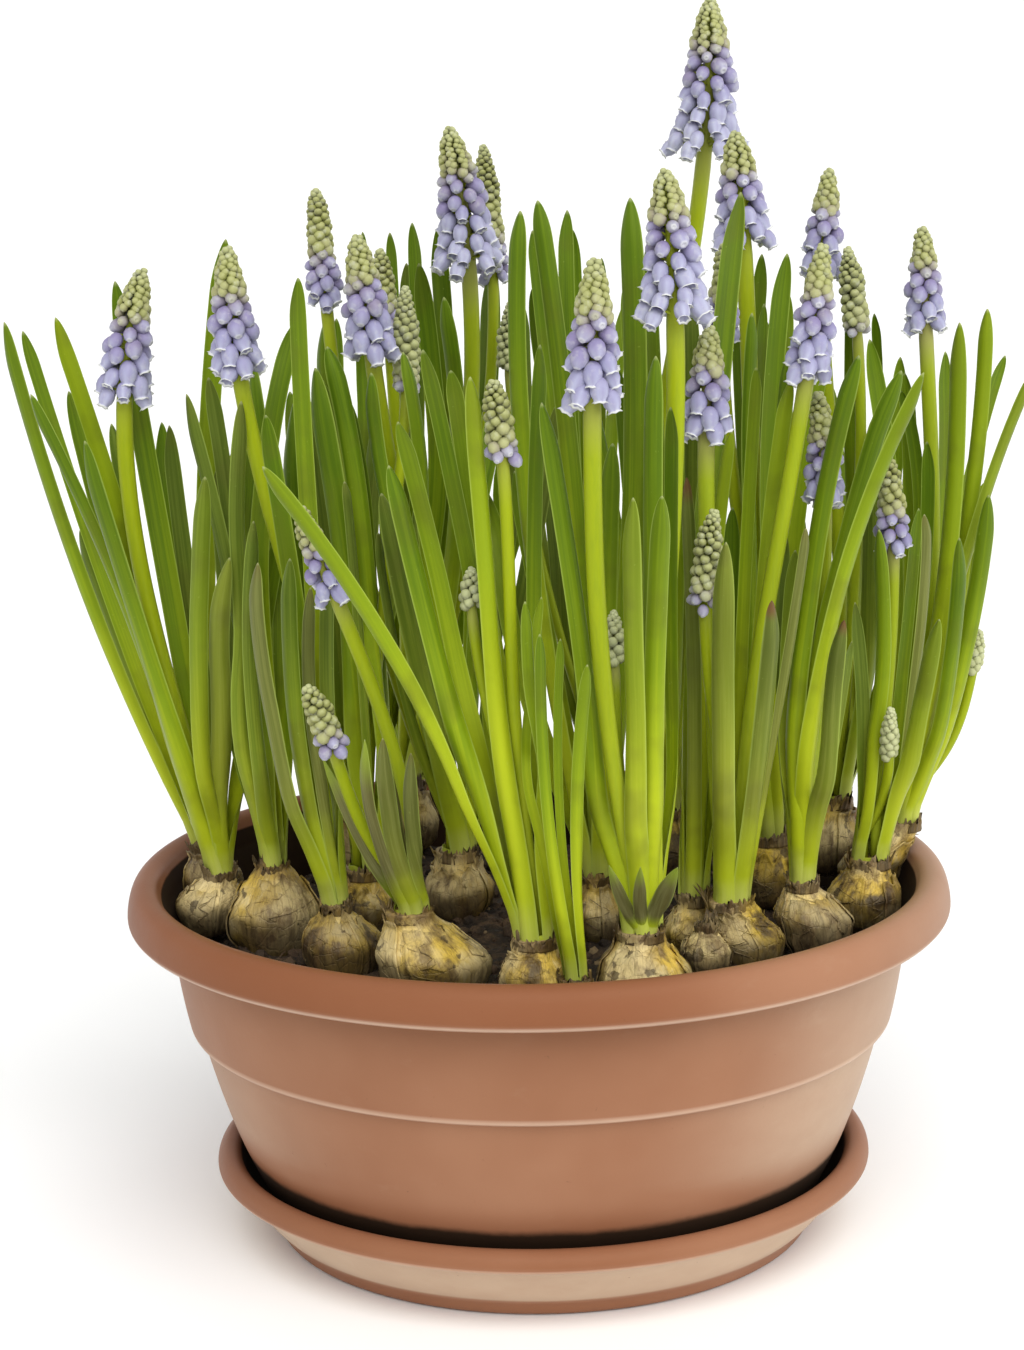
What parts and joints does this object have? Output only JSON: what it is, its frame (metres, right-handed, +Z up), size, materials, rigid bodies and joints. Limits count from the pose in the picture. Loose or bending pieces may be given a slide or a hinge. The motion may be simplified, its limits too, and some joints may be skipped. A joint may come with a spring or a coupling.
{
  "type": "potted grape hyacinths",
  "caption": "Clump of grape hyacinth bulbs with strap leaves and cone-shaped flower spikes, planted in a rimmed round pot that stands on its saucer.",
  "frame": {"origin": "middle of the flat underside of the saucer, on the axis of the pot", "axes": "+Z up along the axis of the pot, -Y towards the viewer, +X to the viewer's right"},
  "size_m": [0.2658, 0.2253, 0.3221],
  "materials": {
    "terracotta_plastic": "matte terracotta-coloured plastic, lightly scuffed",
    "potting_soil": null,
    "bulb_tunic": "papery tan and ochre bulb skin with veins and torn brown scales",
    "leaf": "smooth, slightly waxy green leaf, yellow-green to cream at its foot",
    "flower_stalk": "smooth yellow-green stem with pale violet-blue bells and grey-green buds"
  },
  "bodies": {
    "root": {"bulb_01": "bulb_tunic", "bulb_02": "bulb_tunic", "bulb_03": "bulb_tunic", "bulb_04": "bulb_tunic", "bulb_05": "bulb_tunic", "bulb_07": "bulb_tunic", "bulb_08": "bulb_tunic", "bulb_09": "bulb_tunic", "bulb_10": "bulb_tunic", "bulb_11": "bulb_tunic", "bulb_12": "bulb_tunic", "bulb_13": "bulb_tunic", "bulb_14": "bulb_tunic", "bulb_15": "bulb_tunic", "bulb_16": "bulb_tunic", "bulb_17": "bulb_tunic", "bulb_18": "bulb_tunic", "bulb_19": "bulb_tunic", "bulb_20": "bulb_tunic", "bulb_21": "bulb_tunic", "bulb_22": "bulb_tunic", "flower_stalks_01": "flower_stalk", "flower_stalks_04": "flower_stalk", "flower_stalks_05": "flower_stalk", "flower_stalks_07": "flower_stalk", "flower_stalks_08": "flower_stalk", "flower_stalks_09": "flower_stalk", "flower_stalks_10": "flower_stalk", "flower_stalks_11": "flower_stalk", "flower_stalks_12": "flower_stalk", "flower_stalks_13": "flower_stalk", "flower_stalks_14": "flower_stalk", "flower_stalks_17": "flower_stalk", "flower_stalks_18": "flower_stalk", "flower_stalks_20": "flower_stalk", "leaves_01": "leaf", "leaves_02": "leaf", "leaves_03": "leaf", "leaves_04": "leaf", "leaves_05": "leaf", "leaves_06": "leaf", "leaves_07": "leaf", "leaves_08": "leaf", "leaves_09": "leaf", "leaves_10": "leaf", "leaves_11": "leaf", "leaves_12": "leaf", "leaves_13": "leaf", "leaves_14": "leaf", "leaves_15": "leaf", "leaves_16": "leaf", "leaves_17": "leaf", "leaves_18": "leaf", "leaves_19": "leaf", "leaves_20": "leaf", "leaves_21": "leaf", "leaves_22": "leaf", "pot": "terracotta_plastic", "saucer": "terracotta_plastic", "soil": "potting_soil"}
  },
  "joints": []
}
